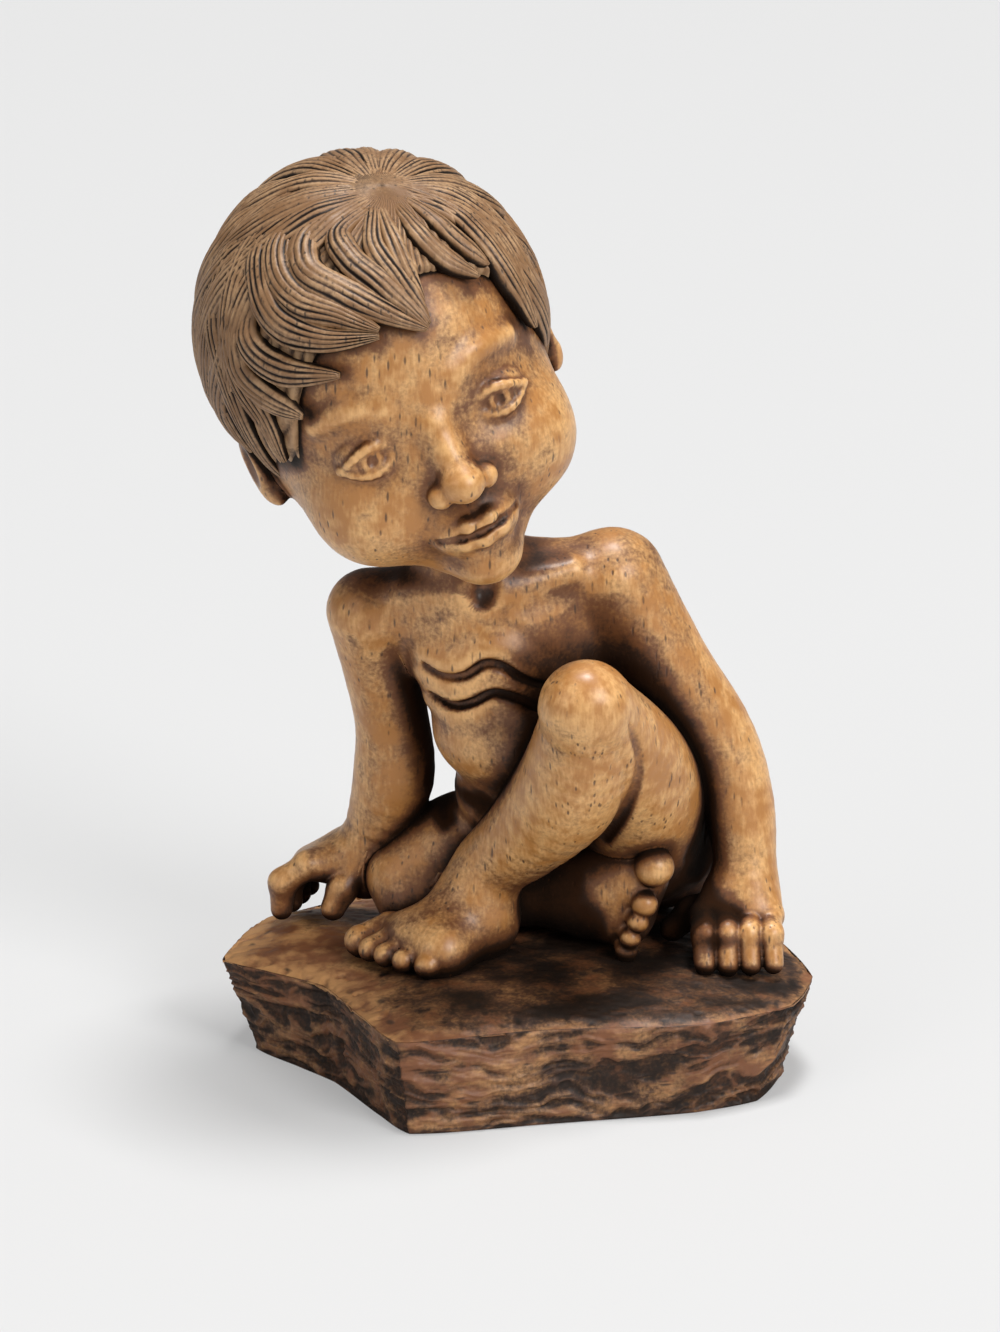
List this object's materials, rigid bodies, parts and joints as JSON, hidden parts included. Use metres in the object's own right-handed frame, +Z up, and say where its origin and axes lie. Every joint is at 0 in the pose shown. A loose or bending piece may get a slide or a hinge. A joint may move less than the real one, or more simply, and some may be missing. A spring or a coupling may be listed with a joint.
{
  "type": "carved wooden figurine",
  "caption": "Carved and stained wooden figurine of a child sitting on a rough-hewn block, leaning on both hands with one knee raised.",
  "frame": {"origin": "middle of the block's flat underside, on the surface that it stands on", "axes": "+Z up; the figure faces -Y, so +X is the viewer's right and the figure's own left"},
  "size_m": [0.13, 0.0903, 0.2004],
  "materials": {
    "carved_figure": "honey-brown carved wood, dark stain in the creases, waxed satin",
    "carved_head": "honey-brown face and grey-brown grooved hair, waxed satin",
    "rough_block": "rough-hewn wood, dark stained, worn bright on its edges",
    "dowel": "plain turned hardwood, unfinished"
  },
  "bodies": {
    "root": {"rough_block": "rough_block", "head": "carved_head", "right_arm": "carved_figure", "left_arm": "carved_figure", "trunk": "carved_figure", "right_thigh": "carved_figure", "left_thigh": "carved_figure", "left_shin": "carved_figure", "left_foot": "carved_figure", "right_shin": "carved_figure", "right_foot": "carved_figure", "right_hand": "carved_figure", "left_hand": "carved_figure", "neck_dowel": "dowel", "right_shoulder_dowel": "dowel", "left_shoulder_dowel": "dowel", "right_wrist_dowel": "dowel", "left_wrist_dowel": "dowel", "right_hip_dowel": "dowel", "left_hip_dowel": "dowel", "right_knee_dowel": "dowel", "left_knee_dowel": "dowel", "right_ankle_dowel": "dowel", "left_ankle_dowel": "dowel", "right_seat_dowel": "dowel", "left_seat_dowel": "dowel"}
  },
  "joints": []
}
